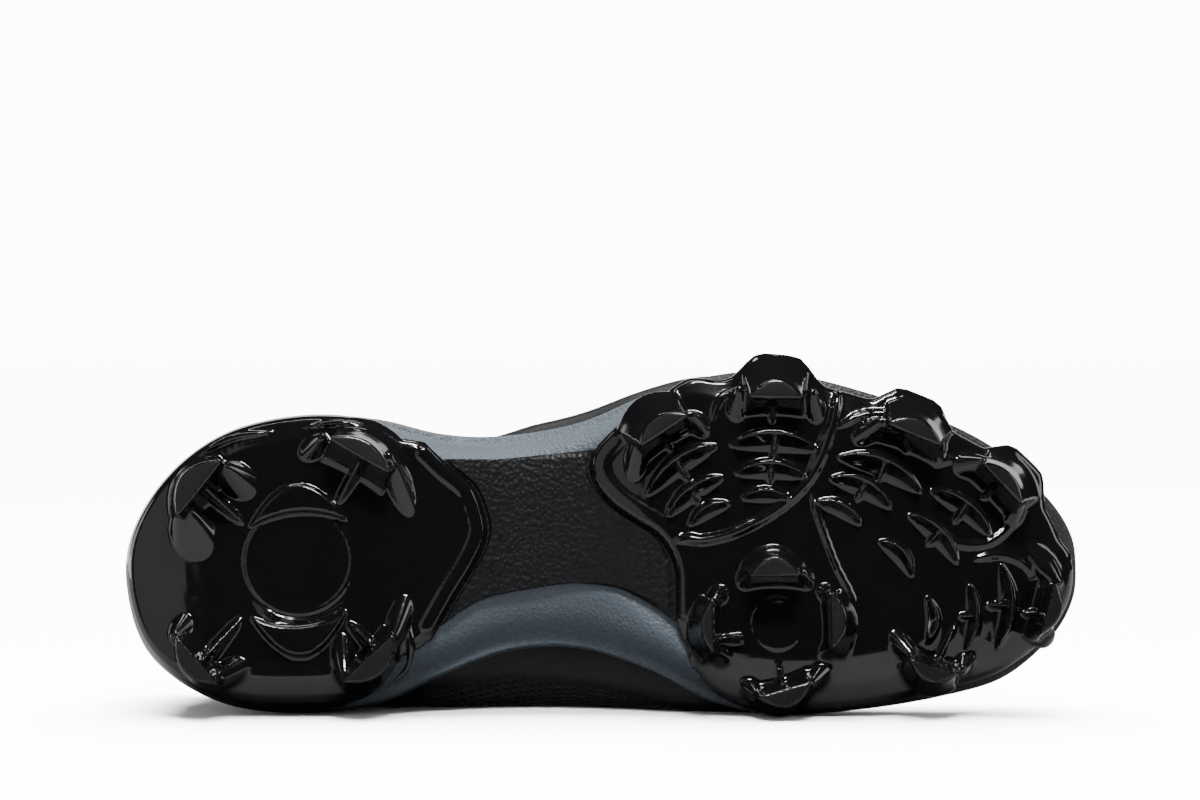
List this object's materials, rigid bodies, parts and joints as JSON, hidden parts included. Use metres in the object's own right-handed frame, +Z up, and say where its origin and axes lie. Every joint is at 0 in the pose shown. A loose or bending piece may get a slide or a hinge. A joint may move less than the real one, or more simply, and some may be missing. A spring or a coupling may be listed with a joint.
{
  "type": "baseball cleat",
  "caption": "Low baseball cleat for the right foot lying on its inner side, with moulded studded pods at heel and forefoot on a grey blue foam sole under a black laced upper",
  "frame": {"origin": "bottom centre of the bounding box, on the floor", "axes": "+X from heel to toe, -Y the way the sole's underside looks, +Z up from the floor to the outer side of the shoe"},
  "size_m": [0.2972, 0.1244, 0.1133],
  "materials": {
    "outsole": "glossy moulded black",
    "shank": "grained black",
    "foam": "matt grained grey blue foam",
    "insole": "matt black",
    "upper": "matt black synthetic and mesh",
    "overlay": "smooth black synthetic",
    "lace": "black woven"
  },
  "bodies": {
    "root": {"outsole_heel": "outsole", "outsole_forefoot": "outsole", "shank": "shank", "midsole": "foam", "insole": "insole", "upper": "upper", "eyestay": "overlay", "collar": "overlay", "tongue": "upper", "laces": "lace"}
  },
  "joints": []
}
